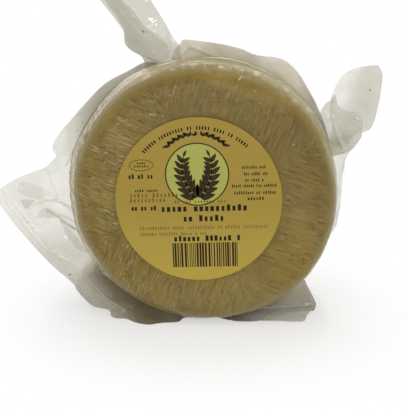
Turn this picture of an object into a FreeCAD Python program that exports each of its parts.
"""A small semi-cured goat cheese, vacuum packed in a clear bag, standing on its edge.

The wheel's axis runs along Y and its labelled face looks towards -Y. The floor is the plane Z = 0, and the
origin is the middle of the flat spot that the pack rests on. The bag is one closed skin: it hugs the wheel
all over, and its two films meet in a margin round the middle of the side wall. Pulled in by the vacuum, the
corners of the bag stand off as folded ears, and its lower edge is pressed forward under the wheel.
All sizes are in millimetres.
"""

import FreeCAD, Part
import math
import os

from FreeCAD import Vector

# ---- cheese wheel ----------------------------------------------------------------------------------------
wheel_diameter = 130.0
wheel_thickness = 56.0
shoulder_radius = 12.0      # rounding between each face and the side wall
side_bulge = 0.8            # how far the side wall swells between its shoulders
rest_flat_depth = 0.5       # how much of the round is pressed flat where it stands

# ---- film ------------------------------------------------------------------------------------------------
film_skin = 0.4             # one film with its fine wrinkles, as it lies on the cheese
film_pair = 0.6             # two films welded together in the margin
film_clearance = 0.2        # between the cheese and the skin

# ---- label -----------------------------------------------------------------------------------------------
label_diameter = 80.0
label_thickness = 0.25
label_shift_x = -2.3        # the sticker was put on by hand, a little off the axis
label_shift_z = -0.5

# ---- margin of the bag, measured out from the side wall in the middle plane of the wheel -----------------
top_margin = 6.5            # band over the top of the wheel
right_margin = 4.0          # narrow strip down the right side
left_margin = 8.5           # wider strip down the left side
top_margin_end = 34.0       # degrees up from +X, where the band gives way to the right strip
top_margin_start = 118.0    # degrees, where the band gives way to the left strip
right_margin_end = -24.0    # degrees, below which the film clings to the wheel
left_margin_end = 206.0     # degrees, where the seal takes over

# ---- folds of the margin out of its plane ----------------------------------------------------------------
ripple_depth = 1.6
ripple_length_x = 62.0
ripple_length_z = 74.0
left_lean = 20.0            # how far the lower left margin is pushed forward where it meets the floor
right_lean = 4.0
lean_height = 46.0          # the height above the floor at which the lean begins
lean_blend = 16.0           # half the width over which the left lean turns into the right one

# ---- worked out from the sizes above ---------------------------------------------------------------------
wheel_radius = wheel_diameter / 2
cavity_offset = film_clearance
skin_offset = film_clearance + film_skin
axis_height = wheel_radius - rest_flat_depth + skin_offset
skin_front = -wheel_thickness / 2 - skin_offset
margin_reach = 2 * wheel_radius + 10.0      # far enough out to hold every ear
sheet_step = 18.0                           # spacing of the points that carry the folded sheet

# ---- ears: (distance out from the side wall, distance across, corner radius), seen from the label side
# along a heading in degrees up from +X, with positive across turning anticlockwise ------------------------
top_ear_heading = 124.0
top_ear = [(-3.0, -16.5, 0.0), (8.0, -16.0, 4.0), (15.0, -12.0, 6.0), (55.0, -12.5, 5.0), (58.0, 13.5, 5.0),
           (21.0, 12.5, 6.0), (14.5, 7.5, 3.0), (6.0, 7.0, 5.0), (-3.0, 12.0, 0.0)]
right_ear_heading = 34.0
right_ear = [(-7.0, -27.0, 0.0), (1.0, -27.0, 8.0), (14.0, -19.0, 3.0), (20.0, -23.5, 4.0), (42.0, 3.5, 5.0),
             (25.0, 11.5, 7.0), (8.0, 2.5, 3.0), (-5.0, 4.0, 0.0)]
left_ear_heading = 180.0
seal_foot_height = 9.6      # where the straight welded edge of the left ear turns in under the wheel
left_ear = [(-15.0, -28.0, 0.0), (9.5, -24.0, 0.0), (14.5, -18.5, 3.0), (11.5, -13.5, 4.0), (18.0, -7.5, 12.0),
            (47.5, 5.5, 5.0), (1.5, axis_height - seal_foot_height, 9.0), (-17.0, axis_height + 1.0, 0.0),
            (-53.0, axis_height + 1.0, 0.0), (-53.0, axis_height - 15.0, 0.0)]

# ---- lower right corner of the bag, standing on the floor, as (x, height, corner radius) -----------------
right_foot = [(40.0, 30.0, 0.0), (51.5, 12.5, 3.0), (59.0, 3.0, 6.0), (53.0, -3.0, 0.0), (10.0, -3.0, 0.0),
              (10.0, 12.0, 0.0)]

# ---- hems pressed flat on the floor, as (x, y, corner radius) --------------------------------------------
left_hem = [(2.0, -4.0, 0.0), (2.0, -15.0, 5.0), (-10.0, -21.5, 9.0), (-26.0, -27.5, 8.0),
            (-47.0, -22.0, 3.0), (-47.0, -17.0, 0.0), (-12.0, -4.0, 0.0)]
right_hem = [(-2.0, -3.5, 0.0), (52.0, -3.5, 3.0), (49.0, -20.0, 4.0), (30.0, -19.0, 20.0),
             (14.0, -20.5, 5.0), (-2.0, -12.0, 0.0)]

os.makedirs("parts", exist_ok=True)


def wheel_round(offset, floor):
    """The wheel, grown by offset all over and cut off flat at the height floor."""
    radius = wheel_radius + offset
    half = wheel_thickness / 2 + offset
    corner = shoulder_radius + offset
    edge = radius - side_bulge
    slant = math.sqrt(0.5)
    front = half - corner
    axle_front = Vector(0, -half, 0)
    axle_back = Vector(0, half, 0)
    front_rim = Vector(edge - corner, -half, 0)
    front_wall = Vector(edge, -front, 0)
    back_wall = Vector(edge, front, 0)
    back_rim = Vector(edge - corner, half, 0)
    front_mid = Vector(edge - corner + corner * slant, -front - corner * slant, 0)
    back_mid = Vector(edge - corner + corner * slant, front + corner * slant, 0)
    profile = Part.Wire([
        Part.makeLine(axle_front, front_rim),
        Part.Arc(front_rim, front_mid, front_wall).toShape(),
        Part.Arc(front_wall, Vector(radius, 0, 0), back_wall).toShape(),
        Part.Arc(back_wall, back_mid, back_rim).toShape(),
        Part.makeLine(back_rim, axle_back),
        Part.makeLine(axle_back, axle_front),
    ])
    solid = Part.Face(profile).revolve(Vector(0, 0, 0), Vector(0, 1, 0), 360)
    solid.translate(Vector(0, 0, axis_height))
    below = Part.makeBox(4 * radius, 4 * radius, 2 * radius, Vector(-2 * radius, -2 * radius, floor - 2 * radius))
    return solid.cut(below)


def rounded_outline(corners, place):
    """A closed wire through corners given as (a, b, radius); place turns a point (a, b) into a Vector."""
    edges = []
    last = None
    first = None
    count = len(corners)
    for i in range(count):
        before = place(*corners[i - 1][:2])
        here = place(*corners[i][:2])
        after = place(*corners[(i + 1) % count][:2])
        radius = corners[i][2]
        start = here
        end = here
        if radius > 0:
            arm_in = (before - here).normalize()
            arm_out = (after - here).normalize()
            half_angle = arm_in.getAngle(arm_out) / 2
            setback = radius / math.tan(half_angle)
            start = here + arm_in * setback
            end = here + arm_out * setback
            bisector = (arm_in + arm_out).normalize()
            middle = here + bisector * (radius / math.sin(half_angle) - radius)
        if last is not None:
            edges.append(Part.makeLine(last, start))
        else:
            first = start
        if radius > 0:
            edges.append(Part.Arc(start, middle, end).toShape())
        last = end
    edges.append(Part.makeLine(last, first))
    return Part.Wire(edges)


def upright_prism(corners, place):
    """An outline in the XZ plane, pushed right through the pack along Y."""
    return Part.Face(rounded_outline(corners, place)).extrude(Vector(0, 2 * margin_reach, 0))


def ear_prism(corners, heading):
    """The outline of an ear that points out from the wheel's axis along a heading."""
    turn = math.radians(heading)

    def place(out, across):
        along = wheel_radius + out
        x = along * math.cos(turn) - across * math.sin(turn)
        z = along * math.sin(turn) + across * math.cos(turn)
        return Vector(x, -margin_reach, z + axis_height)

    return upright_prism(corners, place)


def foot_prism(corners):
    """The outline of a corner of the bag that stands on the floor."""
    return upright_prism(corners, lambda x, height: Vector(x, -margin_reach, height))


def margin_sector(width, start, end):
    """A sector of the plain margin, width wider than the wheel, between two headings."""
    radius = wheel_radius + width
    sector = Part.makeCylinder(radius, 2 * margin_reach, Vector(0, 0, 0), Vector(0, 0, 1), end - start)
    sector.rotate(Vector(0, 0, 0), Vector(0, 0, 1), start)
    sector.rotate(Vector(0, 0, 0), Vector(1, 0, 0), 90)
    sector.translate(Vector(0, margin_reach, axis_height))
    return sector


def sheet_y(x, height):
    """How far the folded margin lies from the middle plane at x and a height above the floor."""
    share = 0.5 + 0.5 * math.tanh(x / lean_blend)
    lean = left_lean + (right_lean - left_lean) * share
    low = max(0.0, 1 - height / lean_height)
    ripple = math.sin(2 * math.pi * x / ripple_length_x) * math.cos(2 * math.pi * height / ripple_length_z)
    return ripple_depth * ripple * (1 - low) - lean * low ** 2


def folded_sheet():
    """The two welded films of the margin as one rippled sheet, leaning forward near the floor."""
    columns = int(2 * margin_reach / sheet_step) + 1
    rows = int((axis_height + margin_reach) / sheet_step) + 2
    grid = []
    for i in range(columns):
        x = -margin_reach + i * sheet_step
        line = []
        for k in range(rows):
            height = (k - 1) * sheet_step
            line.append(Vector(x, sheet_y(x, max(height, 0.0)) - film_pair / 2, height))
        grid.append(line)
    surface = Part.BSplineSurface()
    surface.interpolate(grid)
    return surface.toShape().extrude(Vector(0, film_pair, 0))


def hem(corners):
    """A strip of the margin pressed flat on the floor."""
    outline = rounded_outline(corners, lambda x, y: Vector(x, y, 0))
    return Part.Face(outline).extrude(Vector(0, 0, film_pair))


def bag():
    skin = wheel_round(skin_offset, 0.0)
    prisms = [
        margin_sector(top_margin, top_margin_end, top_margin_start),
        margin_sector(right_margin, right_margin_end, top_margin_end),
        margin_sector(left_margin, top_margin_start, left_margin_end),
        ear_prism(top_ear, top_ear_heading),
        ear_prism(right_ear, right_ear_heading),
        ear_prism(left_ear, left_ear_heading),
        foot_prism(right_foot),
    ]
    outline = prisms[0].multiFuse(prisms[1:])
    above_floor = Part.makeBox(4 * margin_reach, 4 * margin_reach, 4 * margin_reach,
                               Vector(-2 * margin_reach, -2 * margin_reach, 0))
    margin = folded_sheet().common(outline).common(above_floor)
    whole = skin.multiFuse([margin, hem(left_hem), hem(right_hem)])
    whole = whole.cut(wheel_round(cavity_offset, film_skin))
    return whole


def label():
    centre = Vector(label_shift_x, skin_front - label_thickness, axis_height + label_shift_z)
    return Part.makeCylinder(label_diameter / 2, label_thickness, centre, Vector(0, 1, 0))


def save(shape, node):
    solids = shape.Solids
    print(node, "solids", len(solids), "volume", [round(s.Volume, 1) for s in solids], "valid", shape.isValid())
    box = shape.BoundBox
    print("   x %.1f..%.1f  y %.1f..%.1f  z %.1f..%.1f" % (box.XMin, box.XMax, box.YMin, box.YMax, box.ZMin, box.ZMax))
    shape.exportStep("parts/" + node + ".step")


save(wheel_round(0.0, skin_offset), "cheese_wheel")
save(bag(), "vacuum_bag")
save(label(), "label")
